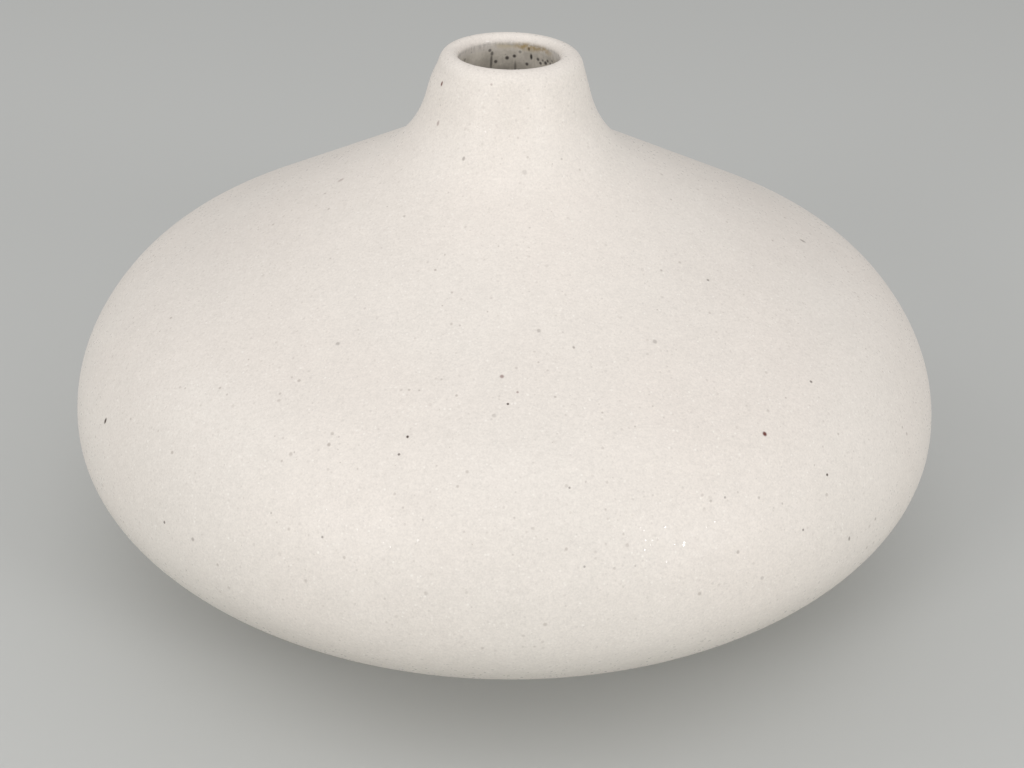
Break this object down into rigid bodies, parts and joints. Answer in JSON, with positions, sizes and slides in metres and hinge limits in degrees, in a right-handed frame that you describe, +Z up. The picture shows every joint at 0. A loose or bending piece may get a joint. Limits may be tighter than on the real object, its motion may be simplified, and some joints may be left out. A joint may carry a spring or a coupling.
{
  "type": "vase",
  "caption": "Squat thrown bottle vase: flat lens-shaped belly, straight flank, short leaning neck with a rolled lip, turned foot ring, speckled matte white glaze.",
  "frame": {"origin": "centre of the plane that the foot ring stands on", "axes": "+Z up the vase's axis, towards the mouth; the form is the same all round, and -Y is the side that the picture shows"},
  "size_m": [0.25, 0.25, 0.1525],
  "materials": {
    "stoneware": "bare fired stoneware, buff, slightly gritty, with a rubbed standing face",
    "white_glaze": "smooth matte white glaze with fine iron specks",
    "grey_liner_glaze": "semi-matte pale grey glaze with dark dots and runs",
    "foot_well_glaze": "thin matte off-white glaze"
  },
  "bodies": {
    "root": {"clay_body": "stoneware", "outer_glaze": "white_glaze", "liner_glaze": "grey_liner_glaze", "foot_glaze": "foot_well_glaze"}
  },
  "joints": []
}
